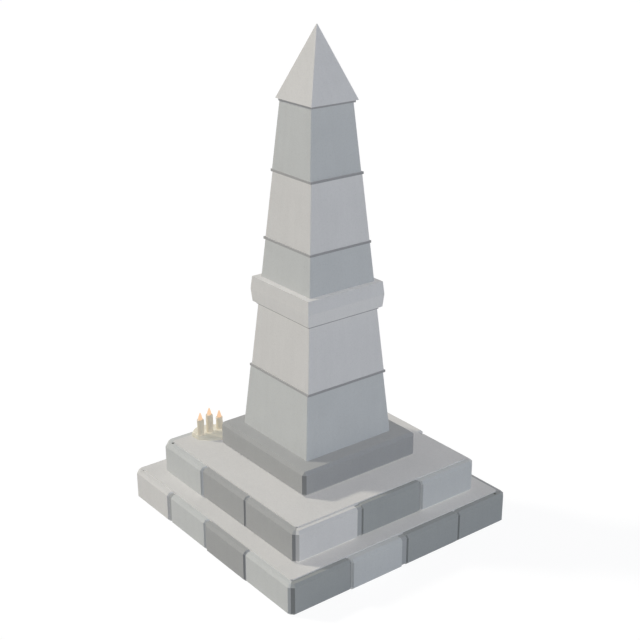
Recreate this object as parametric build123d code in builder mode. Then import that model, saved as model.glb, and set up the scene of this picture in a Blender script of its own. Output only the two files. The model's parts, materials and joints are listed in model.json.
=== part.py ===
from build123d import *
import os

# Memorial obelisk of coursed stone, built in millimetres with the origin at the middle of its foot.
# -Y is the front, +X the right-hand side, +Z is up. It stands on the ground and nothing moves.

# Stepped base: each step is a core that carries the tread, faced with mitred blocks
LOWER_HALF = 1200.0        # centre to the face line of the lower step
LOWER_RISE = 287.0         # ground to the top of the lower facing blocks
LOWER_BLOCKS = 4           # facing blocks on each side of the lower step
UPPER_HALF = 997.0         # centre to the face line of the upper step
UPPER_RISE = 292.0         # lower tread to the top of the upper facing blocks
UPPER_BLOCKS = 3           # facing blocks on each side of the upper step
FACING_DEPTH = 65.0        # thickness of a facing block, front to back
TREAD_LIFT = 11.0          # the tread stands this far above the blocks round it
TREAD_CORNER = 14.0        # bevel down the upright corners of a core
ARRIS = 24.0               # worked bevel along the head and foot of each block
CORNER_ARRIS = 48.0        # bevel down the outer corner of a step, shared by the two blocks there
JOINT_ARRIS = 12.0         # bevel round the ends of a block where two meet
CORNER_GAP = 3.0           # open joint between the mitred ends at a corner

# How far each block stands out from the face line, from its side's left end
LOWER_FRONT_SET = (-5.0, -9.0, -1.0, -8.0)
LOWER_RIGHT_SET = (0.0, 10.0, 5.0, 3.0)
LOWER_BACK_SET = (-1.0, -7.0, -4.0, -10.0)
LOWER_LEFT_SET = (6.0, -4.0, 10.0, 8.0)
UPPER_FRONT_SET = (8.0, -4.0, -5.0)
UPPER_RIGHT_SET = (-3.0, -3.0, 6.0)
UPPER_BACK_SET = (-5.0, 25.0, -3.0)
UPPER_LEFT_SET = (-4.0, 5.0, 23.0)

# Each joint from its side's left end: how far right of an even spacing it lies, and its width
LOWER_FRONT_JOINTS = ((1.0, 36.0), (-18.0, 30.0), (-28.0, 3.0))
LOWER_RIGHT_JOINTS = ((22.0, 7.0), (-10.0, 51.0), (6.0, 7.0))
LOWER_BACK_JOINTS = ((14.0, 8.0), (-22.0, 24.0), (9.0, 5.0))
LOWER_LEFT_JOINTS = ((-17.0, 16.0), (20.0, 4.0), (-6.0, 30.0))
UPPER_FRONT_JOINTS = ((-21.0, 3.0), (-35.0, 12.0))
UPPER_RIGHT_JOINTS = ((11.0, 41.0), (20.0, 3.0))
UPPER_BACK_JOINTS = ((24.0, 45.0), (18.0, 6.0))
UPPER_LEFT_JOINTS = ((24.0, 4.0), (-9.0, 14.0))

# Plinth slab
PLINTH_HALF = 616.0
PLINTH_HEIGHT = 229.0
PLINTH_ARRIS = 27.0

# Tapering shaft of equal blocks with a dark joint band on each
SHAFT_FOOT_HALF = 460.0
SHAFT_HEAD_HALF = 212.0
SHAFT_BLOCKS = 5
SHAFT_HEIGHT = 2916.0
SHAFT_ARRIS = 6.0
BAND_HEIGHT = 20.0
BAND_OVERHANG = 7.0

# How far each shaft block, from the lowest, sits off the axis to the right and to the back
SHAFT_SET = ((-4.0, -5.0), (1.0, 2.0), (2.0, 3.0), (1.0, 2.0), (-3.0, -3.0))

# Bulging collar course, standing on the second joint band
COLLAR_COURSE = 2          # number of the joint band that carries it
COLLAR_HEIGHT = 226.0
COLLAR_EDGE_HALF = 393.0
COLLAR_BULGE = 11.0

# Pyramid capstone
CAP_HALF = 238.0
CAP_HEIGHT = 587.0
CAP_TIP_HALF = 3.0

# Votive candles in a heap of run wax, on the ledge of the upper tread left of the plinth
WAX_SHARE = 0.82           # width of the heap, as a share of the ledge between face line and plinth
WAX_SHIFT = 17.5           # the heap's middle lies this far left of the ledge's middle
WAX_FRONT = 585.0          # the heap's middle lies this far in front of the axis
WAX_HALF_Y = 172.0
WAX_HEIGHT = 42.0
CANDLE_RADIUS = 33.5
CANDLE_PLACES = ((8.0, -118.0), (8.0, -21.0), (8.0, 85.0))   # from the middle of the heap
CANDLE_HEIGHTS = (151.0, 172.0, 117.0)
CANDLE_ARRIS = 4.0
WICK_WIDTH = 5.0
WICK_HEIGHT = 12.0

# Plan of the heap from its middle, in half-widths: its foot, and its top
WAX_FOOT = ((-0.65, -0.97), (-0.90, -0.61), (-1.0, -0.28), (-0.94, 0.08), (-0.73, 0.44), (-0.47, 0.75),
            (-0.17, 0.97), (0.31, 1.0), (0.79, 0.73), (1.0, 0.23), (0.86, -0.20), (0.63, -0.61),
            (0.22, -0.93), (-0.24, -1.0))
WAX_TOP = ((-0.58, -0.91), (-0.84, -0.58), (-0.94, -0.27), (-0.87, 0.06), (-0.68, 0.39), (-0.44, 0.69),
           (-0.18, 0.84), (0.19, 0.84), (0.40, 0.61), (0.42, 0.15), (0.38, -0.38), (0.31, -0.74),
           (0.08, -0.91), (-0.24, -0.95))

LOWER_TREAD = LOWER_RISE + TREAD_LIFT
UPPER_TOP = LOWER_TREAD + UPPER_RISE
UPPER_TREAD = UPPER_TOP + TREAD_LIFT
PLINTH_TOP = UPPER_TREAD + PLINTH_HEIGHT
SHAFT_COURSE = SHAFT_HEIGHT / SHAFT_BLOCKS
SHAFT_TOP = PLINTH_TOP + SHAFT_HEIGHT

os.makedirs("parts", exist_ok=True)


def shaft_half(z):
    """Half-width of the tapering shaft at height z."""
    rise = (z - PLINTH_TOP) / SHAFT_HEIGHT
    return SHAFT_FOOT_HALF + (SHAFT_HEAD_HALF - SHAFT_FOOT_HALF) * rise


def joint_ends(half, blocks, joint, joints):
    """Where a joint begins and ends along the front face line: joint 1 is the first from the left end."""
    shift, width = joints[(joint - 1) % len(joints)]
    middle = -half + joint * 2 * half / blocks + shift
    return middle - width / 2, middle + width / 2


def facing_outline(half, blocks, index, stand, joints):
    """Plan of one facing block of the front side, with mitred ends at the corners of the step."""
    inner = half - FACING_DEPTH
    gap = CORNER_GAP / 2
    facet = CORNER_ARRIS / 2
    if index == 0:
        points = [(-inner + gap, -inner), (-half + facet + gap, -half + facet),
                  (-half + 2 * facet + stand + gap, -half - stand)]
    else:
        left = joint_ends(half, blocks, index, joints)[1]
        points = [(left, -inner), (left, -half - stand)]
    if index == blocks - 1:
        points += [(half - 2 * facet - stand - gap, -half - stand), (half - facet - gap, -half + facet),
                   (inner - gap, -inner)]
    else:
        right = joint_ends(half, blocks, index + 1, joints)[0]
        points += [(right, -half - stand), (right, -inner)]
    return points


# Facing blocks, side by side round each step
SIDES = ("front", "right", "back", "left")
STEPS = (
    ("lower", LOWER_HALF, LOWER_BLOCKS, 0.0, LOWER_RISE,
     (LOWER_FRONT_SET, LOWER_RIGHT_SET, LOWER_BACK_SET, LOWER_LEFT_SET),
     (LOWER_FRONT_JOINTS, LOWER_RIGHT_JOINTS, LOWER_BACK_JOINTS, LOWER_LEFT_JOINTS)),
    ("upper", UPPER_HALF, UPPER_BLOCKS, LOWER_TREAD, UPPER_RISE,
     (UPPER_FRONT_SET, UPPER_RIGHT_SET, UPPER_BACK_SET, UPPER_LEFT_SET),
     (UPPER_FRONT_JOINTS, UPPER_RIGHT_JOINTS, UPPER_BACK_JOINTS, UPPER_LEFT_JOINTS)),
)
for step, half, blocks, foot, rise, stands, joints in STEPS:
    for quarter, side in enumerate(SIDES):
        ground = Plane.XY.offset(foot).rotated((0, 0, 90 * quarter))
        outward = Axis((0, 0, 0), tuple(-ground.y_dir))
        along = Axis((0, 0, 0), tuple(ground.x_dir))
        for index in range(blocks):
            stand = stands[quarter][index % len(stands[quarter])]
            with BuildPart() as facing:
                with BuildSketch(ground):
                    with BuildLine():
                        Polyline(*facing_outline(half, blocks, index, stand, joints[quarter]), close=True)
                    make_face()
                extrude(amount=rise)
                shown = facing.faces().filter_by(lambda f: f.normal_at().dot(outward.direction) > 0.5)
                levels = shown.edges().group_by(Axis.Z)
                chamfer(levels[0] + levels[-1], ARRIS)
                if index > 0:
                    end = facing.faces().sort_by(along)[0]
                    chamfer(end.edges().sort_by(Axis.Z)[1:].sort_by(outward)[1:], JOINT_ARRIS)
                if index < blocks - 1:
                    end = facing.faces().sort_by(along)[-1]
                    chamfer(end.edges().sort_by(Axis.Z)[1:].sort_by(outward)[1:], JOINT_ARRIS)
            facing.part.label = f"{step}_{side}_block_{index + 1}"
            export_step(facing.part, f"parts/{facing.part.label}.step")

# Core of each step, whose top is the tread
with BuildPart() as lower_core:
    with BuildSketch():
        Rectangle(2 * (LOWER_HALF - FACING_DEPTH), 2 * (LOWER_HALF - FACING_DEPTH))
    extrude(amount=LOWER_TREAD)
    chamfer(lower_core.edges().filter_by(Axis.Z), TREAD_CORNER)
lower_core.part.label = "lower_core"
export_step(lower_core.part, "parts/lower_core.step")

with BuildPart() as upper_core:
    with BuildSketch(Plane.XY.offset(LOWER_TREAD)):
        Rectangle(2 * (UPPER_HALF - FACING_DEPTH), 2 * (UPPER_HALF - FACING_DEPTH))
    extrude(amount=UPPER_TREAD - LOWER_TREAD)
    chamfer(upper_core.edges().filter_by(Axis.Z), TREAD_CORNER)
upper_core.part.label = "upper_core"
export_step(upper_core.part, "parts/upper_core.step")

# Plinth slab, bevelled on every edge
with BuildPart() as plinth:
    with BuildSketch(Plane.XY.offset(UPPER_TREAD)):
        Rectangle(2 * PLINTH_HALF, 2 * PLINTH_HALF)
    extrude(amount=PLINTH_HEIGHT)
    chamfer(plinth.edges(), PLINTH_ARRIS)
plinth.part.label = "plinth"
export_step(plinth.part, "parts/plinth.step")

# Shaft blocks: each fills the height between two joint bands, the third starts on the collar
for course in range(1, SHAFT_BLOCKS + 1):
    foot = PLINTH_TOP + (course - 1) * SHAFT_COURSE
    if course == COLLAR_COURSE + 1:
        foot += COLLAR_HEIGHT
    head = PLINTH_TOP + course * SHAFT_COURSE - BAND_HEIGHT
    with BuildPart() as shaft_block:
        for z in (foot, head):
            with BuildSketch(Plane.XY.offset(z)):
                with Locations(SHAFT_SET[(course - 1) % len(SHAFT_SET)]):
                    Rectangle(2 * shaft_half(z), 2 * shaft_half(z))
        loft(ruled=True)
        uprights = shaft_block.edges().filter_by(lambda e: abs((e % 0.5).Z) > 0.5)
        chamfer(uprights, SHAFT_ARRIS)
    shaft_block.part.label = f"shaft_block_{course}"
    export_step(shaft_block.part, f"parts/{shaft_block.part.label}.step")

# Joint bands: thin plates through the whole joint that stand a little proud of the shaft
with BuildPart() as joint_bands:
    for course in range(1, SHAFT_BLOCKS + 1):
        top = PLINTH_TOP + course * SHAFT_COURSE
        width = 2 * (shaft_half(top - BAND_HEIGHT) + BAND_OVERHANG)
        with BuildSketch(Plane.XY.offset(top - BAND_HEIGHT)):
            Rectangle(width, width)
        extrude(amount=BAND_HEIGHT)
joint_bands.part.label = "joint_bands"
export_step(joint_bands.part, "parts/joint_bands.step")

# Collar: a course whose sides bulge to their middle
COLLAR_FOOT = PLINTH_TOP + COLLAR_COURSE * SHAFT_COURSE
with BuildPart() as collar:
    for share, bulge in ((0.0, 0.0), (0.5, COLLAR_BULGE), (1.0, 0.0)):
        width = 2 * (COLLAR_EDGE_HALF + bulge)
        with BuildSketch(Plane.XY.offset(COLLAR_FOOT + share * COLLAR_HEIGHT)):
            Rectangle(width, width)
    loft(ruled=True)
collar.part.label = "collar"
export_step(collar.part, "parts/collar.step")

# Capstone: a pyramid on the top band, a little wider than the shaft's head
with BuildPart() as capstone:
    with BuildSketch(Plane.XY.offset(SHAFT_TOP)):
        Rectangle(2 * CAP_HALF, 2 * CAP_HALF)
    with BuildSketch(Plane.XY.offset(SHAFT_TOP + CAP_HEIGHT)):
        Rectangle(2 * CAP_TIP_HALF, 2 * CAP_TIP_HALF)
    loft(ruled=True)
capstone.part.label = "capstone"
export_step(capstone.part, "parts/capstone.step")

# Heap of run wax on the tread. Where it reaches past the tread it has run down onto the blocks.
WAX_HALF_X = WAX_SHARE * (UPPER_HALF - PLINTH_HALF) / 2
WAX_MIDDLE = (-(UPPER_HALF + PLINTH_HALF) / 2 - WAX_SHIFT, -WAX_FRONT)
FOOT_PLAN = [(WAX_MIDDLE[0] + u * WAX_HALF_X, WAX_MIDDLE[1] + v * WAX_HALF_Y) for u, v in WAX_FOOT]
TOP_PLAN = [(WAX_MIDDLE[0] + u * WAX_HALF_X, WAX_MIDDLE[1] + v * WAX_HALF_Y) for u, v in WAX_TOP]
with BuildPart() as wax_pool:
    with BuildSketch(Plane.XY.offset(UPPER_TREAD)):
        with BuildLine():
            Polyline(*FOOT_PLAN, close=True)
        make_face()
    with BuildSketch(Plane.XY.offset(UPPER_TREAD + WAX_HEIGHT)):
        with BuildLine():
            Polyline(*TOP_PLAN, close=True)
        make_face()
    loft(ruled=True)
    with BuildSketch(Plane.XY.offset(UPPER_TOP)):
        with BuildLine():
            Polyline(*FOOT_PLAN, close=True)
        make_face()
        Rectangle(2 * (UPPER_HALF - FACING_DEPTH), 2 * (UPPER_HALF - FACING_DEPTH), mode=Mode.SUBTRACT)
    extrude(amount=TREAD_LIFT)
wax_pool.part.label = "wax_pool"
export_step(wax_pool.part, "parts/wax_pool.step")

# Candles in a row on the heap, and the wicks that stand out of them
CANDLE_FOOT = UPPER_TREAD + WAX_HEIGHT
for index, (place, height) in enumerate(zip(CANDLE_PLACES, CANDLE_HEIGHTS)):
    with BuildPart() as candle:
        with BuildSketch(Plane.XY.offset(CANDLE_FOOT)):
            with Locations((WAX_MIDDLE[0] + place[0], WAX_MIDDLE[1] + place[1])):
                Circle(CANDLE_RADIUS)
        extrude(amount=height)
        chamfer(candle.faces().sort_by(Axis.Z)[-1].edges(), CANDLE_ARRIS)
    candle.part.label = f"candle_{index + 1}"
    export_step(candle.part, f"parts/{candle.part.label}.step")

with BuildPart() as candle_wicks:
    for place, height in zip(CANDLE_PLACES, CANDLE_HEIGHTS):
        with BuildSketch(Plane.XY.offset(CANDLE_FOOT + height)):
            with Locations((WAX_MIDDLE[0] + place[0], WAX_MIDDLE[1] + place[1])):
                Rectangle(WICK_WIDTH, WICK_WIDTH)
        extrude(amount=WICK_HEIGHT)
candle_wicks.part.label = "candle_wicks"
export_step(candle_wicks.part, "parts/candle_wicks.step")
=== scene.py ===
"""Looks of a stone memorial obelisk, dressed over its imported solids.

Everything is in metres, in the part's own frame: -Y is the front, +X the right-hand side, +Z is up.
"""

import json
import logging
import math
import random
from dataclasses import dataclass, field
from enum import Enum
from typing import Any, Callable, Iterable, Optional, Sequence

import bmesh
import bpy
from mathutils import Matrix, Vector, noise

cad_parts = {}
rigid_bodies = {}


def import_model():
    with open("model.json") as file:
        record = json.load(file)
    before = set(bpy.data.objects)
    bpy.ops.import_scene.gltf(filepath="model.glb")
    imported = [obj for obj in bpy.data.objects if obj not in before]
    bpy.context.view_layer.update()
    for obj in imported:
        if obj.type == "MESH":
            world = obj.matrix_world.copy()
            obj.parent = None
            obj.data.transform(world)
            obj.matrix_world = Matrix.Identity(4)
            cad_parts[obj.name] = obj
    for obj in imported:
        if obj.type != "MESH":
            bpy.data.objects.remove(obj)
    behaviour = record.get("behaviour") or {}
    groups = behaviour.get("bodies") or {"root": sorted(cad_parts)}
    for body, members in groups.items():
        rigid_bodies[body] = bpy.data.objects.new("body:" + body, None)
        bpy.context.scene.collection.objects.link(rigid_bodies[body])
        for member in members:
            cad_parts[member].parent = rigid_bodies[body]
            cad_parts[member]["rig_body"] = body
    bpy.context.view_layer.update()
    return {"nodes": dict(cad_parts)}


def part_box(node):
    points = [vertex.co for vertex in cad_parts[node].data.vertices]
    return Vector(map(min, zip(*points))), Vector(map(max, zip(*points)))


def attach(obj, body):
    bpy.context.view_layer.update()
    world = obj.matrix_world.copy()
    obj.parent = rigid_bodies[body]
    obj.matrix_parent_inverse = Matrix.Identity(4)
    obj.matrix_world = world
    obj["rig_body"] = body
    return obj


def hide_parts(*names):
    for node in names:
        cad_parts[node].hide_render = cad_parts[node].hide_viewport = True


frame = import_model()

LOG = logging.getLogger("obelisk")
MM = 0.001
BODY = "root"


# Colour and nodes

def linear(colour: str) -> tuple[float, float, float, float]:
    """Turns an sRGB hex colour into linear light.

    Args:
        colour: Six hex digits after a hash.

    Returns:
        Red, green, blue and an alpha of 1.
    """
    parts = [int(colour[i:i + 2], 16) / 255 for i in (1, 3, 5)]
    return (*[c / 12.92 if c <= 0.04045 else ((c + 0.055) / 1.055) ** 2.4 for c in parts], 1.0)


def shade(colour: Sequence[float], factor: float) -> tuple[float, float, float, float]:
    """Makes a linear colour lighter or darker.

    Args:
        colour: Linear red, green and blue.
        factor: Number that each is multiplied with.

    Returns:
        The new colour, with an alpha of 1.
    """
    return (colour[0] * factor, colour[1] * factor, colour[2] * factor, 1.0)


def add_node(tree: bpy.types.NodeTree, kind: str, inputs: Optional[dict[Any, Any]] = None,
             **settings: Any) -> bpy.types.Node:
    """Adds one node with its settings, and sets or links its inputs.

    Args:
        tree: Node tree that gets the node.
        kind: Blender's name of the node type, without its leading "ShaderNode".
        inputs: Socket name or number against a value, or against an output socket to link.
        settings: Attributes set on the node itself.

    Returns:
        The new node.
    """
    made = tree.nodes.new("ShaderNode" + kind)
    for name, value in settings.items():
        setattr(made, name, value)
    for key, value in (inputs or {}).items():
        if isinstance(value, bpy.types.NodeSocket):
            tree.links.new(value, made.inputs[key])
        else:
            made.inputs[key].default_value = value
    return made


def new_tree(name: str) -> tuple[bpy.types.Material, bpy.types.NodeTree]:
    """Makes an empty node material.

    Args:
        name: Name of the material.

    Returns:
        The material and its cleared node tree.
    """
    material = bpy.data.materials.new(name)
    material.use_nodes = True
    material.node_tree.nodes.clear()
    return material, material.node_tree


def per_metre(size_mm: float) -> float:
    """Works out the scale of a texture from a real size.

    Args:
        size_mm: Width of the pattern's features.

    Returns:
        Features to a metre.
    """
    return 1000.0 / size_mm


# Finishes

class Tone(Enum):
    """Colours of the stones, as quarried and weathered, with one darker copy that is painted shade."""

    DARK = "#9D9D9B"
    DARK_LEE = "#959794"            # the dark stone made darker: painted shade for the blocks of the right-hand side
    LIGHT = "#BBBCB9"
    PALE = "#C9C7C3"
    SLATE = "#9F9E9C"


@dataclass(frozen=True)
class DressedStone:
    """Fine-grained granite, sawn and rubbed smooth, then left outdoors.

    The saw leaves flat faces with a dull sheen. Grain shows as a faint speckle with scattered dark
    flecks of mica, slow weathering as broad patches and thin streaks of run water, and the sharp
    edges are rubbed a little paler than the faces. Light is painted in as well: the upright bevels
    are darkened as painted shade on the facings and lightened as a painted highlight on the shaft,
    the right-hand side and the level faces get painted shade, and a ledge's foot a painted shadow.
    """

    name: str
    tone: Tone
    bevel_painted_light: float = 0.60        # brightness of the upright bevels: painted shade below 1, a painted highlight above 1
    right_painted_shade: float = 1.0          # brightness of the right-hand (+X) side: painted shade
    top_painted_shade: float = 1.0          # brightness of its level faces: painted shade
    ledge_shadow: float = 1.0               # brightness of its front and back near a ledge's height: painted shadow of the ledge
    ledge_height: float = -1.0       # height of that ledge, in metres
    ledge_shadow_reach: float = 25 * MM     # how far from it the painted shadow reaches
    grain_mm: float = 14.0          # true grains are 1 to 3 mm: drawn coarser so that they show
    fleck_mm: float = 26.0          # spacing of the mica flecks, drawn coarser as well
    patch_mm: float = 300.0
    streak_mm: float = 55.0         # width of a streak of run water
    streak_shape: tuple[float, float, float] = (1.0, 1.0, 0.06)         # drawn out upright
    block_shift: tuple[float, float, float] = (31.0, 17.0, 23.0)        # so that no two blocks are alike
    grain_share: float = 0.040
    patch_share: float = 0.020
    streak_share: float = 0.012
    fleck_share: float = 0.06
    worn_share: float = 0.05        # how much paler the rubbed edges are
    worn_mm: float = 7.0
    roughness: float = 0.86
    roughness_reach: float = 0.06   # how far it wanders either way
    ior: float = 1.54
    relief_mm: float = 0.5

    def build(self) -> bpy.types.Material:
        """Builds the material.

        Returns:
            The material.
        """
        material, tree = new_tree(self.name)
        place = add_node(tree, "TexCoord").outputs["Object"]
        luck = add_node(tree, "ObjectInfo").outputs["Random"]
        shift = add_node(tree, "VectorMath", {0: self.block_shift, "Scale": luck}, operation="SCALE")
        spot = add_node(tree, "VectorMath", {0: place, 1: shift.outputs[0]}).outputs[0]
        grain = add_node(tree, "TexNoise", {"Vector": spot, "Scale": per_metre(self.grain_mm), "Detail": 3.0,
                                            "Roughness": 0.7}).outputs["Fac"]
        colour = self.patches(tree, spot)
        for factor in (*self.patterns(tree, spot, grain), *self.painted_light(tree, place), self.edge(tree)):
            colour = add_node(tree, "VectorMath", {0: colour, "Scale": factor}, operation="SCALE").outputs[0]
        rough = self.spread(tree, grain, (0.0, 1.0), self.roughness - self.roughness_reach,
                            self.roughness + self.roughness_reach)
        bump = add_node(tree, "Bump", {"Strength": 0.5, "Distance": self.relief_mm * MM, "Height": grain})
        surface = add_node(tree, "BsdfPrincipled", {
            "Base Color": colour, "Roughness": rough, "Normal": bump.outputs[0],
            "IOR": self.ior, "Specular IOR Level": 0.3})
        add_node(tree, "OutputMaterial", {"Surface": surface.outputs[0]})
        return material

    def patches(self, tree: bpy.types.NodeTree, spot: bpy.types.NodeSocket) -> bpy.types.NodeSocket:
        """Draws the stone's own colour, with the broad patches of its weathering.

        Args:
            tree: Node tree of the material.
            spot: Place in the stone.

        Returns:
            The colour.
        """
        base = linear(self.tone.value)
        patch = add_node(tree, "TexNoise", {"Vector": spot, "Scale": per_metre(self.patch_mm), "Detail": 3.0,
                                            "Roughness": 0.55})
        mixed = add_node(tree, "Mix", {
            "Factor": patch.outputs["Fac"], 6: shade(base, 1 - self.patch_share * 2),
            7: shade(base, 1 + self.patch_share * 2)}, data_type="RGBA")
        return mixed.outputs[2]

    def patterns(self, tree: bpy.types.NodeTree, spot: bpy.types.NodeSocket,
                 grain: bpy.types.NodeSocket) -> tuple[bpy.types.NodeSocket, ...]:
        """Draws the speckle of the grain, the streaks of run water and the flecks of mica.

        Args:
            tree: Node tree of the material.
            spot: Place in the stone.
            grain: Pattern of the grain.

        Returns:
            Brightness of each.
        """
        drawn_out = add_node(tree, "VectorMath", {0: spot, 1: self.streak_shape}, operation="MULTIPLY")
        streak = add_node(tree, "TexNoise", {
            "Vector": drawn_out.outputs[0], "Scale": per_metre(self.streak_mm), "Detail": 2.0})
        fleck = add_node(tree, "TexVoronoi", {"Vector": spot, "Scale": per_metre(self.fleck_mm)})
        return (self.spread(tree, grain, (0.25, 0.75), 1 - self.grain_share, 1 + self.grain_share),
                self.spread(tree, streak.outputs["Fac"], (0.3, 0.7), 1 - self.streak_share,
                            1 + self.streak_share),
                self.spread(tree, fleck.outputs["Distance"], (0.10, 0.24), 1 - self.fleck_share, 1.0))

    def painted_light(self, tree: bpy.types.NodeTree,
                place: bpy.types.NodeSocket) -> tuple[bpy.types.NodeSocket, ...]:
        """Darkens faces by the way they look and by what lies over them.

        Args:
            tree: Node tree of the material.
            place: Place in the part's frame.

        Returns:
            Brightness of the painted shade and highlight of the upright bevels, of the painted shade of the
            right-hand side and of the level faces, and of the painted shadow under the ledge.
        """
        facing = add_node(tree, "SeparateXYZ", {0: add_node(tree, "NewGeometry").outputs["True Normal"]})
        corner = add_node(tree, "Math", {0: facing.outputs["X"], 1: facing.outputs["Y"]},
                          operation="MULTIPLY")
        corner = add_node(tree, "Math", {0: corner.outputs[0]}, operation="ABSOLUTE")
        across = add_node(tree, "Math", {0: facing.outputs["Y"]}, operation="ABSOLUTE")
        height = add_node(tree, "SeparateXYZ", {0: place}).outputs["Z"]
        ledge = add_node(tree, "Math", {0: height, 1: self.ledge_height, 2: self.ledge_shadow_reach},
                         operation="COMPARE")
        under_ledge = add_node(tree, "Math", {0: across.outputs[0], 1: ledge.outputs[0]}, operation="MULTIPLY")
        # painted light: upright bevels, right-hand side, level faces, and the shadow under the ledge
        return (self.spread(tree, corner.outputs[0], (0.25, 0.45), 1.0, self.bevel_painted_light),
                self.spread(tree, facing.outputs["X"], (0.6, 0.9), 1.0, self.right_painted_shade),
                self.spread(tree, facing.outputs["Z"], (0.8, 0.95), 1.0, self.top_painted_shade),
                self.spread(tree, under_ledge.outputs[0], (0.5, 0.9), 1.0, self.ledge_shadow))

    def spread(self, tree: bpy.types.NodeTree, value: bpy.types.NodeSocket, ends: tuple[float, float],
               low: float, high: float) -> bpy.types.NodeSocket:
        """Spreads a pattern between two levels.

        Args:
            tree: Node tree of the material.
            value: Pattern to spread.
            ends: Values of the pattern that become the two levels.
            low: Level at the first end.
            high: Level at the second end.

        Returns:
            The spread value.
        """
        return add_node(tree, "MapRange", {"Value": value, "From Min": ends[0], "From Max": ends[1],
                                           "To Min": low, "To Max": high}).outputs[0]

    def edge(self, tree: bpy.types.NodeTree) -> bpy.types.NodeSocket:
        """Draws the rubbed edges.

        Args:
            tree: Node tree of the material.

        Returns:
            Brightness, above 1 near a sharp edge.
        """
        rounded = add_node(tree, "Bevel", {"Radius": self.worn_mm * MM}, samples=4)
        flat = add_node(tree, "NewGeometry")
        same = add_node(tree, "VectorMath", {0: rounded.outputs[0], 1: flat.outputs["True Normal"]},
                        operation="DOT_PRODUCT")
        return self.spread(tree, same.outputs["Value"], (0.93, 1.0), 1 + self.worn_share, 1.0)


@dataclass(frozen=True)
class LimeMortar:
    """Lime mortar, pressed into the joints with a trowel and raked back: sandy, rough and dull."""

    name: str = "lime_mortar_raked"
    colour: str = "#9B9C9A"
    sand_mm: float = 6.0            # true sand is about 1 mm: drawn coarser so that it shows

    def build(self) -> bpy.types.Material:
        """Builds the material.

        Returns:
            The material.
        """
        material, tree = new_tree(self.name)
        base = linear(self.colour)
        place = add_node(tree, "TexCoord").outputs["Object"]
        sand = add_node(tree, "TexNoise", {"Vector": place, "Scale": per_metre(self.sand_mm), "Detail": 4.0})
        colour = add_node(tree, "Mix", {"Factor": sand.outputs["Fac"], 6: shade(base, 0.84),
                                        7: shade(base, 1.16)}, data_type="RGBA")
        bump = add_node(tree, "Bump", {"Strength": 0.8, "Distance": 1.5 * MM, "Height": sand.outputs["Fac"]})
        surface = add_node(tree, "BsdfPrincipled", {"Base Color": colour.outputs[2], "Roughness": 0.95,
                                                    "Normal": bump.outputs[0]})
        add_node(tree, "OutputMaterial", {"Surface": surface.outputs[0]})
        return material


@dataclass(frozen=True)
class PaintedWellShade:
    """Nearly black, crumbly and quite without gloss: painted shade for open wells, drawn as grit."""

    name: str = "washed_grit"
    colour: str = "#55574F"
    crumb_mm: float = 5.0            # size of its crumbs, drawn coarse so that they show

    def build(self) -> bpy.types.Material:
        """Builds the material.

        Returns:
            The material.
        """
        material, tree = new_tree(self.name)
        base = linear(self.colour)
        place = add_node(tree, "TexCoord").outputs["Object"]
        grit = add_node(tree, "TexVoronoi", {"Vector": place, "Scale": per_metre(self.crumb_mm)})
        colour = add_node(tree, "Mix", {"Factor": grit.outputs["Distance"], 6: shade(base, 0.7),
                                        7: shade(base, 1.5)}, data_type="RGBA")
        bump = add_node(tree, "Bump", {"Strength": 0.9, "Distance": 2.0 * MM,
                                       "Height": grit.outputs["Distance"]})
        surface = add_node(tree, "BsdfPrincipled", {"Base Color": colour.outputs[2], "Roughness": 0.98,
                                                    "Normal": bump.outputs[0]})
        add_node(tree, "OutputMaterial", {"Surface": surface.outputs[0]})
        return material


@dataclass(frozen=True)
class Paraffin:
    """Paraffin wax, poured in a mould and then half melted: soft, a little glossy, light passes into it."""

    name: str = "paraffin_wax_run"
    colour: str = "#D1CBB9"
    cloud_mm: float = 30.0
    ior: float = 1.44
    depth_share: float = 0.10       # how much of the light passes into the wax
    depth: tuple[float, float, float] = (6 * MM, 5 * MM, 4 * MM)    # how deep red, green and blue go

    def build(self) -> bpy.types.Material:
        """Builds the material.

        Returns:
            The material.
        """
        material, tree = new_tree(self.name)
        base = linear(self.colour)
        place = add_node(tree, "TexCoord").outputs["Object"]
        cloud = add_node(tree, "TexNoise", {"Vector": place, "Scale": per_metre(self.cloud_mm),
                                            "Detail": 3.0})
        colour = add_node(tree, "Mix", {"Factor": cloud.outputs["Fac"], 6: shade(base, 0.92),
                                        7: shade(base, 1.05)}, data_type="RGBA")
        rough = add_node(tree, "MapRange", {"Value": cloud.outputs["Fac"], "To Min": 0.38, "To Max": 0.55})
        bump = add_node(tree, "Bump", {"Strength": 0.3, "Distance": 1.0 * MM, "Height": cloud.outputs["Fac"]})
        surface = add_node(tree, "BsdfPrincipled", {
            "Base Color": colour.outputs[2], "Roughness": rough.outputs[0], "Normal": bump.outputs[0],
            "IOR": self.ior, "Subsurface Weight": self.depth_share, "Subsurface Radius": self.depth,
            "Subsurface Scale": 1.0})
        add_node(tree, "OutputMaterial", {"Surface": surface.outputs[0]})
        return material


@dataclass(frozen=True)
class CharredCotton:
    """Braided cotton wick, burnt: matt black with grey ash on its threads."""

    name: str = "cotton_wick_charred"

    def build(self) -> bpy.types.Material:
        """Builds the material.

        Returns:
            The material.
        """
        material, tree = new_tree(self.name)
        place = add_node(tree, "TexCoord").outputs["Object"]
        braid = add_node(tree, "TexWave", {"Vector": place, "Scale": per_metre(4.0) / 6.3, "Distortion": 2.0},
                         bands_direction="DIAGONAL")
        colour = add_node(tree, "Mix", {"Factor": braid.outputs["Fac"], 6: linear("#1A1613"),
                                        7: linear("#4A433D")}, data_type="RGBA")
        surface = add_node(tree, "BsdfPrincipled", {"Base Color": colour.outputs[2], "Roughness": 0.95})
        add_node(tree, "OutputMaterial", {"Surface": surface.outputs[0]})
        return material


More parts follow.
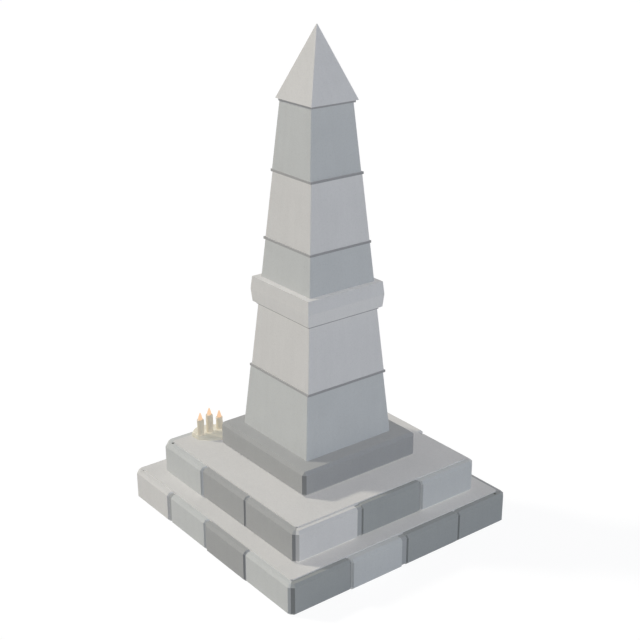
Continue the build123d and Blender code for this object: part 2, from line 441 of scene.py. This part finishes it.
@dataclass(frozen=True)
class CandleFlame:
    """Burning wax vapour: a steady pale orange body of light that thins out towards its tip."""

    name: str = "candle_flame"
    low: str = "#F6C6A0"
    high: str = "#FDD8B0"
    foot: float = 0.7               # height where the low colour ends, in metres
    reach: float = 0.9              # height where the high colour is full

    def build(self) -> bpy.types.Material:
        """Builds the material.

        Returns:
            The material.
        """
        material, tree = new_tree(self.name)
        place = add_node(tree, "TexCoord").outputs["Object"]
        up = add_node(tree, "SeparateXYZ", {0: place})
        rise = add_node(tree, "MapRange", {"Value": up.outputs["Z"], "From Min": self.foot,
                                           "From Max": self.reach})
        colour = add_node(tree, "Mix", {"Factor": rise.outputs[0], 6: linear(self.low), 7: linear(self.high)},
                          data_type="RGBA")
        surface = add_node(tree, "BsdfPrincipled", {
            "Base Color": (0.0, 0.0, 0.0, 1.0), "Emission Color": colour.outputs[2], "Emission Strength": 1.0,
            "Specular IOR Level": 0.0})
        add_node(tree, "OutputMaterial", {"Surface": surface.outputs[0]})
        return material


# Mesh helpers

def object_from(name: str, build: Callable[[bmesh.types.BMesh], None], material: bpy.types.Material,
                smooth: bool = True) -> bpy.types.Object:
    """Makes an object from mesh code, gives it a material and lets it ride on the body.

    Args:
        name: Name of the piece.
        build: Function that fills an empty bmesh, in metres in the part's frame.
        material: Finish of the piece.
        smooth: Whether faces are shaded smooth.

    Returns:
        The new object.
    """
    mesh = bpy.data.meshes.new(name)
    work = bmesh.new()
    build(work)
    bmesh.ops.recalc_face_normals(work, faces=work.faces)
    for face in work.faces:
        face.smooth = smooth
    work.to_mesh(mesh)
    work.free()
    made = bpy.data.objects.new(name, mesh)
    made.data.materials.append(material)
    bpy.context.scene.collection.objects.link(made)
    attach(made, BODY)
    LOG.info("made %s with %d faces", name, len(mesh.polygons))
    return made


def dress(node: bpy.types.Object, material: bpy.types.Material) -> None:
    """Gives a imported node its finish.

    Args:
        node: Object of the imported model.
        material: Finish for all of its faces.
    """
    if not node.material_slots:
        node.data.materials.append(material)
    for slot in node.material_slots:
        slot.material = material
    LOG.info("dressed %s with %s", node.name, material.name)


def skin_rings(work: bmesh.types.BMesh, rings: Sequence[Sequence[Vector]]) -> None:
    """Joins closed rings of points into a tube and closes both ends.

    Args:
        work: Mesh that gets the faces.
        rings: Rings with the same number of points, from foot to head.
    """
    rows = [[work.verts.new(p) for p in ring] for ring in rings]
    count = len(rows[0])
    for low, high in zip(rows, rows[1:]):
        for i in range(count):
            j = (i + 1) % count
            work.faces.new((low[i], low[j], high[j], high[i]))
    work.faces.new(list(reversed(rows[0])))
    work.faces.new(rows[-1])


# Sub-assemblies

@dataclass(frozen=True)
class Step:
    """Sizes of one step, in metres."""

    name: str
    half: float                      # centre to the face line
    tread_corner: float = 14 * MM
    facing_depth: float = 65 * MM
    corner_arris: float = 48 * MM
    arris: float = 24 * MM           # bevel along the head and foot of its blocks
    corner_gap: float = 3 * MM
    grit: tuple[tuple[float, float, float], ...] = ()    # middle and radius of each near-black heap of painted shade


@dataclass
class SteppedBase:
    """Two steps of faced masonry, raked mortar in each joint, and painted shade in the tread corners."""

    nodes: dict[str, bpy.types.Object]
    stones: dict[Tone, bpy.types.Material]
    mortar: bpy.types.Material
    # material of the near-black heaps, which are painted shade
    grit: bpy.types.Material
    steps: tuple[Step, ...] = (
        Step("lower", 1.200, grit=((1.155, 1.091, 0.011), (-1.118, -1.147, 0.006), (-1.148, 1.120, 0.009))),
        Step("upper", 0.997, grit=((-0.910, -0.944, 0.012), (-0.945, 0.915, 0.007))))
    sides: tuple[str, ...] = ("front", "right", "back", "left")
    mortar_recess: float = 9 * MM    # from the face of the block that stands out less
    mortar_rise: float = 20 * MM     # spacing of the uneven points up a mortar line
    unevenness: float = 1.5 * MM
    shade_heap_rise: float = 0.4           # height of a little heap, as a share of its radius
    shade_heap_points: int = 14
    shade_heap_wander: tuple[float, float] = (0.8, 1.1)       # of its radius
    shade_heap_shape: tuple[tuple[float, float], ...] = (     # share of its radius and of its height
        (1.0, 0.0), (0.92, 0.35), (0.7, 0.75), (0.35, 0.97), (0.08, 1.0))
    tones: dict[str, tuple[Tone, ...]] = field(default_factory=lambda: {
        "lower_front": (Tone.PALE, Tone.LIGHT, Tone.DARK, Tone.LIGHT),
        "lower_right": (Tone.DARK_LEE, Tone.LIGHT, Tone.DARK_LEE, Tone.DARK_LEE),
        "lower_back": (Tone.DARK, Tone.LIGHT, Tone.PALE, Tone.DARK),
        "lower_left": (Tone.DARK, Tone.LIGHT, Tone.DARK, Tone.PALE),
        "upper_front": (Tone.LIGHT, Tone.DARK, Tone.DARK),
        "upper_right": (Tone.PALE, Tone.DARK_LEE, Tone.LIGHT),
        "upper_back": (Tone.PALE, Tone.PALE, Tone.DARK),
        "upper_left": (Tone.DARK, Tone.LIGHT, Tone.LIGHT),
    })

    def build(self) -> None:
        """Dresses the blocks and cores and adds the mortar lines and the heaps of painted shade."""
        for row, tones in self.tones.items():
            for index, tone in enumerate(tones):
                dress(self.nodes[f"{row}_block_{index + 1}"], self.stones[tone])
        for step in self.steps:
            dress(self.nodes[f"{step.name}_core"], self.stones[Tone.PALE])
            piece = object_from(f"{step.name}_joint_mortar", lambda work: self.fill_joints(work, step),
                                self.mortar, smooth=False)
            # near-black heaps: painted shade in the open wells at the tread's corners
            piece = object_from(f"{step.name}_corner_grit", lambda work: self.paint_well_shade(work, step),
                                self.grit)

    def fill_joints(self, work: bmesh.types.BMesh, step: Step) -> None:
        """Adds the mortar of every joint of a step.

        Args:
            work: Mesh that gets the mortar.
            step: The step.
        """
        draw = random.Random(step.name)
        for quarter, side in enumerate(self.sides):
            turn = Matrix.Rotation(math.pi / 2 * quarter, 3, "Z")
            boxes = [self.unturned(f"{step.name}_{side}_block_{index + 1}", turn)
                     for index in range(len(self.tones[f"{step.name}_{side}"]))]
            for left, right in zip(boxes, boxes[1:]):
                self.fill_joint(work, turn, step, left, right, draw)
            self.fill_corner(work, turn, step, boxes[0], draw)

    def paint_well_shade(self, work: bmesh.types.BMesh, step: Step) -> None:
        """Adds little near-black heaps near the corners of a tread, where the mitred joints end.

        They are painted shade for the open wells there.

        Args:
            work: Mesh that gets the grit.
            step: The step.
        """
        draw = random.Random(step.name + " grit")
        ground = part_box(f"{step.name}_front_block_1")[1].z
        angles = [math.tau * i / self.shade_heap_points for i in range(self.shade_heap_points)]
        for x, y, radius in step.grit:
            rings = []
            for share, rise in self.shade_heap_shape:
                rings.append([Vector((x + radius * share * draw.uniform(*self.shade_heap_wander) * math.cos(a),
                                      y + radius * share * draw.uniform(*self.shade_heap_wander) * math.sin(a),
                                      ground + radius * self.shade_heap_rise * rise)) for a in angles])
            skin_rings(work, rings)

    def unturned(self, name: str, turn: Matrix) -> tuple[Vector, Vector]:
        """Returns a block's box as it would be on the front side.

        Args:
            name: Name of the block's node.
            turn: Turn from the front side to its own side.

        Returns:
            Lowest and highest corner.
        """
        ends = [turn.transposed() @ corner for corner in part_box(name)]
        return (Vector(min(a, b) for a, b in zip(*ends)), Vector(max(a, b) for a, b in zip(*ends)))

    def fill_joint(self, work: bmesh.types.BMesh, turn: Matrix, step: Step, left: tuple[Vector, Vector],
                   right: tuple[Vector, Vector], draw: random.Random) -> None:
        """Adds one upright line of mortar between two blocks.

        Args:
            work: Mesh that gets the mortar.
            turn: Turn from the front side to the joint's side.
            step: The step.
            left: Box of the block on the left, as on the front side.
            right: Box of the block on the right.
            draw: Source of the unevenness.
        """
        x_from, x_to = left[1].x, right[0].x
        face = max(left[0].y, right[0].y) + self.mortar_recess
        back = max(left[1].y, right[1].y)
        across = [x_from + (x_to - x_from) * share for share in (0.0, 0.3, 0.7, 1.0)]
        self.strip(work, turn, [(x, face) for x in across], [(x_to, back), (x_from, back)],
                   (0.0, step.arris), (left[0].z, left[1].z), draw)

    def fill_corner(self, work: bmesh.types.BMesh, turn: Matrix, step: Step, first: tuple[Vector, Vector],
                    draw: random.Random) -> None:
        """Adds the thin line of mortar in the mitred joint at a side's left corner.

        Args:
            work: Mesh that gets the mortar.
            turn: Turn from the front side to the corner's side.
            step: The step.
            first: Box of the side's first block, as on the front side.
            draw: Source of the unevenness.
        """
        inner = step.half - step.facing_depth - step.tread_corner / 2
        outer = step.half - step.corner_arris / 2 - self.mortar_recess / 2
        aside = step.corner_gap / 2 / math.sqrt(2)
        shown = [(-outer - aside, -outer + aside), (-outer + aside, -outer - aside)]
        hidden = [(-inner + aside, -inner - aside), (-inner - aside, -inner + aside)]
        self.strip(work, turn, shown, hidden, (step.arris, step.arris), (first[0].z, first[1].z), draw)

    def strip(self, work: bmesh.types.BMesh, turn: Matrix, shown: list[tuple[float, float]],
              hidden: list[tuple[float, float]], inward: tuple[float, float], block: tuple[float, float],
              draw: random.Random) -> None:
        """Adds an upright strip of mortar whose shown points are uneven and keep behind the blocks' bevels.

        Args:
            work: Mesh that gets the mortar.
            turn: Turn from the front side to the strip's side.
            shown: Points in plan that are seen, from left to right.
            hidden: Points in plan that lie against stone.
            inward: How far in plan the bevel at a block's head or foot runs back.
            block: Heights of the blocks' foot and head.
            draw: Source of the unevenness.
        """
        foot, head = block[0], block[1] - self.mortar_recess
        bevel = max(inward)
        count = max(4, round((head - foot) / self.mortar_rise))
        rings = []
        heights = [foot + (head - foot) * k / count for k in range(count + 1)]
        for z in sorted([*heights, foot + bevel, block[1] - bevel]):
            share = max(0.0, 1 - (z - foot) / bevel, 1 - (block[1] - z) / bevel)
            ring = [Vector((x + inward[0] * share,
                            y + inward[1] * share + draw.uniform(0, self.unevenness), z)) for x, y in shown]
            ring += [Vector((x, y, z)) for x, y in hidden]
            rings.append([turn @ p for p in ring])
        skin_rings(work, rings)


@dataclass
class Shaft:
    """Plinth, tapering shaft with its bands and collar, and the capstone."""

    nodes: dict[str, bpy.types.Object]
    stones: dict[Tone, bpy.types.Material]
    plinth_stone: bpy.types.Material
    tones: dict[str, Tone] = field(default_factory=lambda: {
        "shaft_block_1": Tone.LIGHT, "shaft_block_2": Tone.PALE,
        "shaft_block_3": Tone.LIGHT, "shaft_block_4": Tone.PALE, "shaft_block_5": Tone.LIGHT,
        "joint_bands": Tone.SLATE, "collar": Tone.PALE, "capstone": Tone.PALE,
    })

    def build(self) -> None:
        """Dresses each stone of the shaft."""
        dress(self.nodes["plinth"], self.plinth_stone)
        for name, tone in self.tones.items():
            dress(self.nodes[name], self.stones[tone])


@dataclass
class CandleGroup:
    """Three burning candles in a heap of run wax."""

    nodes: dict[str, bpy.types.Object]
    wax: bpy.types.Material          # of the candles
    run_wax: bpy.types.Material      # of the heap
    cotton: bpy.types.Material
    flame: bpy.types.Material
    candles: tuple[str, ...] = ("candle_1", "candle_2", "candle_3")
    sides: int = 40                  # points round a candle
    dish: float = 7 * MM             # depth of the melted pool at a candle's head
    rim: float = 4 * MM              # thickness of the wall round it
    levels: int = 14                 # levels up a candle's side
    runs: int = 7                    # runs of wax down each candle
    run_reach: tuple[float, float] = (0.25, 0.95)       # share of the candle's height that a run goes down
    run_width: tuple[float, float] = (0.10, 0.2)        # of a run, in radians
    first_seed: int = 40
    run_proud: float = 3.5 * MM
    head_sag: float = 1.2 * MM       # how far a candle's head has sunk here and there
    flame_height: float = 74 * MM
    flame_radius: float = 23 * MM
    flame_rings: int = 12
    flame_points: int = 20
    flame_swell: float = 0.16        # share of its height at which a flame is widest
    flame_taper: float = 0.66        # 1 for a straight taper above that, less for a fuller one
    flame_tip: float = 0.4 * MM      # radius at which a flame ends
    flame_lean: float = 1.5 * MM
    heap_middle: tuple[float, float] = (-0.824, -0.585)
    heap_half: tuple[float, float] = (0.1562, 0.172)
    heap_foot: tuple[tuple[float, float], ...] = (      # plan of its foot, in half-widths
        (-0.60, -0.90), (-0.84, -0.60), (-0.94, -0.28), (-0.89, 0.07), (-0.70, 0.43), (-0.46, 0.74),
        (-0.17, 0.95), (0.31, 0.98), (0.79, 0.73), (0.97, 0.18), (0.80, -0.19), (0.60, -0.48),
        (0.32, -0.76), (0.05, -0.905), (-0.27, -0.92))
    heap_top: tuple[tuple[float, float], ...] = (       # plan of its top
        (-0.52, -0.86), (-0.79, -0.57), (-0.90, -0.27), (-0.85, 0.06), (-0.66, 0.39), (-0.43, 0.69),
        (-0.17, 0.82), (0.16, 0.82), (0.31, 0.66), (0.33, 0.22), (0.32, -0.10), (0.31, -0.42),
        (0.26, -0.70), (0.05, -0.885), (-0.24, -0.89))
    heap_rings: int = 9
    heap_points: int = 8             # points between two of the plan's points
    heap_lump: float = 4 * MM
    heap_lumps: float = 24.0         # lumps to a metre
    heap_steep: float = 1.5          # how the rings crowd towards its foot
    heap_top_rings: tuple[float, ...] = (0.93, 0.8, 0.55, 0.3, 0.1)     # shares of the plan of its top
    heap_edge: float = 0.38          # share of the height that its thin edge rises at once
    tread_edge: float = -0.932       # left of it the wax lies on the blocks
    tread_lift: float = 11 * MM

    def build(self) -> None:
        """Makes the candles, their flames and the heap, and dresses the wicks."""
        dress(self.nodes["candle_wicks"], self.cotton)
        for index, name in enumerate(self.candles):
            low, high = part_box(name)
            piece = object_from(f"melted_{name}", lambda work: self.candle(work, low, high, index), self.wax)
            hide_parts(name)
            lit = object_from(f"{name}_flame", lambda work: self.teardrop(work, low, high), self.flame)
        low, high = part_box("wax_pool")
        heap = object_from("run_wax_heap", lambda work: self.heap(work, low, high), self.run_wax)
        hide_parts("wax_pool")

    def candle(self, work: bmesh.types.BMesh, low: Vector, high: Vector, seed: int) -> None:
        """Builds one candle with a melted head and runs of wax down its side.

        Args:
            work: Mesh that gets the candle.
            low: Lowest corner of its solid.
            high: Highest corner of its solid.
            seed: Number that varies the runs.
        """
        draw = random.Random(self.first_seed + seed)
        centre = (low + high) / 2
        radius = (high.x - low.x) / 2 - self.run_proud
        tall = high.z - low.z
        runs = [(draw.uniform(0, math.tau), draw.uniform(*self.run_reach) * tall,
                 draw.uniform(*self.run_width)) for _ in range(self.runs)]
        levels = [(tall * k / self.levels, radius) for k in range(self.levels)]
        levels += [(tall - 3 * MM, radius), (tall, radius - self.rim / 2), (tall - 1 * MM, radius - self.rim),
                   (tall - self.dish * 0.7, radius - self.rim * 1.7), (tall - self.dish, radius * 0.45),
                   (tall - self.dish, radius * 0.1)]
        rings = []
        for number, (z, r) in enumerate(levels):
            ring = []
            for i in range(self.sides):
                angle = math.tau * i / self.sides
                out = 0.0
                for at, reach, width in runs:
                    away = abs((angle - at + math.pi) % math.tau - math.pi)
                    depth = tall - z
                    if number < self.levels + 2 and depth < reach:
                        fat = 0.6 + 0.4 * math.sin(math.pi * min(1.0, depth / reach)) ** 2
                        out += self.run_proud * fat * math.exp(-(away / width) ** 2)
                out = min(out, self.run_proud)
                sag = self.head_sag * math.sin(3 * angle + seed) if number >= self.levels else 0.0
                ring.append(Vector((centre.x + (r + out) * math.cos(angle),
                                    centre.y + (r + out) * math.sin(angle), low.z + z + min(0.0, sag))))
            rings.append(ring)
        skin_rings(work, rings)

    def teardrop(self, work: bmesh.types.BMesh, low: Vector, high: Vector) -> None:
        """Builds a flame over a candle.

        Args:
            work: Mesh that gets the flame.
            low: Lowest corner of the candle's solid.
            high: Highest corner of the candle's solid.
        """
        centre = (low + high) / 2
        foot = high.z - self.dish + 2 * MM
        rings = []
        angles = [math.tau * i / self.flame_points for i in range(self.flame_points)]
        for k in range(self.flame_rings + 1):
            t = k / self.flame_rings
            swell = min(1.0, (t + 0.01) / self.flame_swell) ** 0.5
            width = max(self.flame_radius * swell * (1 - t) ** self.flame_taper, self.flame_tip)
            lean = self.flame_lean * t * t
            rings.append([Vector((centre.x + lean + width * math.cos(a), centre.y + width * math.sin(a),
                                  foot + self.flame_height * t)) for a in angles])
        skin_rings(work, rings)

    def outline(self, plan: Sequence[tuple[float, float]]) -> list[Vector]:
        """Draws a smooth closed line through the points of a plan.

        Args:
            plan: Points in half-widths of the heap.

        Returns:
            Points of the line, in metres.
        """
        points = [Vector((self.heap_middle[0] + u * self.heap_half[0],
                          self.heap_middle[1] + v * self.heap_half[1])) for u, v in plan]
        line = []
        for i, here in enumerate(points):
            before, after = points[i - 1], points[(i + 1) % len(points)]
            beyond = points[(i + 2) % len(points)]
            for k in range(self.heap_points):
                t = k / self.heap_points
                line.append(0.5 * (2 * here + (after - before) * t
                                   + (2 * before - 5 * here + 4 * after - beyond) * t * t
                                   + (3 * here - before - 3 * after + beyond) * t ** 3))
        return line

    def heap(self, work: bmesh.types.BMesh, low: Vector, high: Vector) -> None:
        """Builds the lumpy heap of wax that has run down and set on the tread and over its edge.

        Args:
            work: Mesh that gets the heap.
            low: Lowest corner of its solid.
            high: Highest corner of its solid.
        """
        foot, top = self.outline(self.heap_foot), self.outline(self.heap_top)
        middle = sum(top, Vector((0.0, 0.0))) / len(top)
        rings = []
        for k in range(self.heap_rings):
            t = (k / (self.heap_rings - 1)) ** self.heap_steep
            ring = []
            for a, b in zip(foot, top):
                at = a.lerp(b, t)
                lump = 0.5 + 0.5 * noise.noise(
                    Vector((at.x * self.heap_lumps, at.y * self.heap_lumps, t * 0.8)))
                at = at + (middle - at).normalized() * self.heap_lump * lump
                ground = low.z if at.x < self.tread_edge else low.z + self.tread_lift
                rise = self.heap_edge * min(1.0, t * 12) + (1 - self.heap_edge) * t
                ring.append(Vector((at.x, at.y, ground + (high.z - ground) * rise)))
            rings.append(ring)
        for share in self.heap_top_rings:
            rings.append([Vector((middle.x + (p.x - middle.x) * share,
                                  middle.y + (p.y - middle.y) * share, high.z))
                          for p in rings[self.heap_rings - 1]])
        skin_rings(work, rings)


# Studio

@dataclass(frozen=True)
class Lamp:
    """A far lamp: direction in which its light travels, strength, colour as sRGB hex, width in degrees."""

    name: str
    travel: tuple[float, float, float]
    strength: float
    colour: str
    width: float = 20.0
    shadow: bool = False


@dataclass
class Studio:
    """Camera, floor and light: one soft key lamp and an even ring of shadowless fill lamps."""

    nodes: dict[str, bpy.types.Object]
    camera_at: tuple[float, float, float] = (7.6485, -5.9308, 5.7459)
    camera_turn: float = 52.063          # degrees round the upright axis
    camera_fall: float = 21.946          # degrees below level
    clip: tuple[float, float] = (0.1, 500.0)
    lens_mm: float = 68.69
    sensor_mm: float = 36.0
    key: Lamp = Lamp("key_lamp", (0.96, 0.74, -1.0), 1.61, "#FFFAEC", 6.0, True)
    under: Lamp = Lamp("floor_glow", (0.0, 0.0, 1.0), 1.7, "#FFFFFF")
    ring_fall: float = 18.4              # degrees below level at which the ring's light travels
    ring_strength: float = 0.506
    ring: tuple[tuple[float, float, float], ...] = (    # linear colour from the front, right, back and left
        (0.64, 0.64, 0.66), (0.93, 1.06, 1.31), (0.98, 0.98, 1.04), (0.98, 0.98, 1.04))
    unshadowed: tuple[str, ...] = ("collar", "joint_bands")     # cast no key shadow
    sky_colour: str = "#FAFCFF"
    sky_strength: float = 0.25
    floor_colour: str = "#B4B4B4"
    floor_reach: float = 90.0
    backdrop_share: float = 0.70         # how much of the floor that the camera sees is plain white
    backdrop_strength: float = 1.26

    def build(self) -> None:
        """Builds the camera, the floor, the lamps and the world."""
        self.camera()
        self.floor()
        key = self.lamp(self.key)
        open_stones = bpy.data.collections.new("casts_no_key_shadow")
        for name in self.unshadowed:
            open_stones.objects.link(self.nodes[name])
        for entry in open_stones.collection_objects:
            entry.light_linking.link_state = "EXCLUDE"
        key.light_linking.blocker_collection = open_stones
        self.lamp(self.under)
        self.fill()
        self.world()
        bpy.context.scene.view_settings.view_transform = "Standard"

    def fill(self) -> None:
        """Adds the ring of eight fill lamps, the four between the sides with the mean of their colours."""
        fall = math.radians(self.ring_fall)
        for index in range(8):
            first, second = self.ring[index // 2], self.ring[(index + 1) // 2 % 4]
            mixed = [(a + b) / 2 for a, b in zip(first, second)]
            angle = math.pi / 4 * index
            travel = (-math.sin(angle) * math.cos(fall), math.cos(angle) * math.cos(fall), -math.sin(fall))
            peak = max(mixed)
            lamp = self.lamp(Lamp(f"fill_lamp_{index + 1}", travel, self.ring_strength * peak, "#FFFFFF"))
            lamp.data.color = [c / peak for c in mixed]

    def camera(self) -> None:
        """Adds the camera at the photograph's place."""
        data = bpy.data.cameras.new("camera")
        data.lens, data.sensor_width = self.lens_mm, self.sensor_mm
        data.clip_start, data.clip_end = self.clip
        made = bpy.data.objects.new("camera", data)
        made.location = self.camera_at
        made.rotation_euler = (math.radians(90 - self.camera_fall), 0.0, math.radians(self.camera_turn))
        bpy.context.scene.collection.objects.link(made)
        bpy.context.scene.camera = made

    def lamp(self, wanted: Lamp) -> bpy.types.Object:
        """Adds a far lamp.

        Args:
            wanted: What the lamp is.

        Returns:
            The lamp.
        """
        data = bpy.data.lights.new(wanted.name, "SUN")
        data.energy, data.angle = wanted.strength, math.radians(wanted.width)
        data.color = linear(wanted.colour)[:3]
        data.use_shadow = wanted.shadow
        made = bpy.data.objects.new(wanted.name, data)
        made.rotation_mode = "QUATERNION"
        made.rotation_quaternion = Vector(wanted.travel).to_track_quat("-Z", "Y")
        bpy.context.scene.collection.objects.link(made)
        return made

    def world(self) -> None:
        """Fills the world with even sky light, which the camera sees as white."""
        world = bpy.data.worlds.new("sky")
        world.use_nodes = True
        tree = world.node_tree
        tree.nodes.clear()
        path = add_node(tree, "LightPath")
        seen = add_node(tree, "Math", {0: path.outputs["Is Camera Ray"], 1: path.outputs["Is Glossy Ray"]},
                        operation="MAXIMUM")
        seen = add_node(tree, "Math", {0: seen.outputs[0], 1: path.outputs["Is Transmission Ray"]},
                        operation="MAXIMUM")
        sky = add_node(tree, "Background", {"Color": linear(self.sky_colour), "Strength": self.sky_strength})
        white = add_node(tree, "Background", {"Color": (1.0, 1.0, 1.0, 1.0), "Strength": 1.0})
        both = add_node(tree, "MixShader", {0: seen.outputs[0], 1: sky.outputs[0], 2: white.outputs[0]})
        add_node(tree, "OutputWorld", {"Surface": both.outputs[0]})
        bpy.context.scene.world = world

    def floor(self) -> None:
        """Adds a pale floor that keeps a faint shadow of the object."""
        mesh = bpy.data.meshes.new("floor")
        r = self.floor_reach
        mesh.from_pydata([(-r, -r, 0), (r, -r, 0), (r, r, 0), (-r, r, 0)], [], [(0, 1, 2, 3)])
        made = bpy.data.objects.new("floor", mesh)
        bpy.context.scene.collection.objects.link(made)
        material, tree = new_tree("floor_paper")
        path = add_node(tree, "LightPath")
        seen = add_node(tree, "Math", {0: path.outputs["Is Camera Ray"], 1: path.outputs["Is Glossy Ray"]},
                        operation="MAXIMUM")
        seen = add_node(tree, "Math", {0: seen.outputs[0], 1: self.backdrop_share}, operation="MULTIPLY")
        paper = add_node(tree, "BsdfDiffuse", {"Color": linear(self.floor_colour)})
        white = add_node(tree, "Emission", {"Color": (1.0, 1.0, 1.0, 1.0),
                                            "Strength": self.backdrop_strength})
        both = add_node(tree, "MixShader", {0: seen.outputs[0], 1: paper.outputs[0], 2: white.outputs[0]})
        add_node(tree, "OutputMaterial", {"Surface": both.outputs[0]})
        made.data.materials.append(material)


def main() -> None:
    """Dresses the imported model, adds what the solids leave out, and sets up the studio."""
    logging.basicConfig(level=logging.INFO, format="%(name)s: %(message)s")
    # Blender's own first cube, lamp and camera go
    for thing in list(bpy.data.objects):
        if "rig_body" not in thing and not thing.name.startswith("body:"):
            bpy.data.objects.remove(thing)
    nodes = frame["nodes"]
    # the facings' upright bevels, right-hand sides and level faces get painted shade
    facings = {
        tone: DressedStone(f"granite_{tone.name.lower()}_facing", tone, bevel_painted_light=bevel_shade, right_painted_shade=right_shade,
                           top_painted_shade=top).build()
        for tone, bevel_shade, right_shade, top in (
            (Tone.DARK, 0.60, 0.89, 1.0), (Tone.DARK_LEE, 0.60, 1.0, 0.90),
            (Tone.LIGHT, 0.76, 0.96, 1.0), (Tone.PALE, 0.74, 1.0, 0.985))}
    collar_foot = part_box("collar")[0].z
    # the ashlars' upright bevels get a painted highlight, their right-hand sides painted shade, and the slate
    # bands a painted shadow under the collar
    ashlars = {
        tone: DressedStone(f"granite_{tone.name.lower()}_ashlar", tone, bevel_painted_light=1.05, right_painted_shade=right_shade,
                           ledge_shadow=ledge_shadow, ledge_height=collar_foot).build()
        for tone, right_shade, ledge_shadow in (
            (Tone.LIGHT, 0.96, 1.0), (Tone.PALE, 1.0, 1.0), (Tone.SLATE, 0.83, 0.48))}
    SteppedBase(nodes, facings, LimeMortar().build(), PaintedWellShade().build()).build()
    Shaft(nodes, ashlars, facings[Tone.DARK]).build()
    CandleGroup(nodes, Paraffin("paraffin_wax_moulded", "#CFC5B0").build(), Paraffin().build(),
                CharredCotton().build(), CandleFlame().build()).build()
    Studio(nodes).build()


if __name__ == "__main__":
    main()
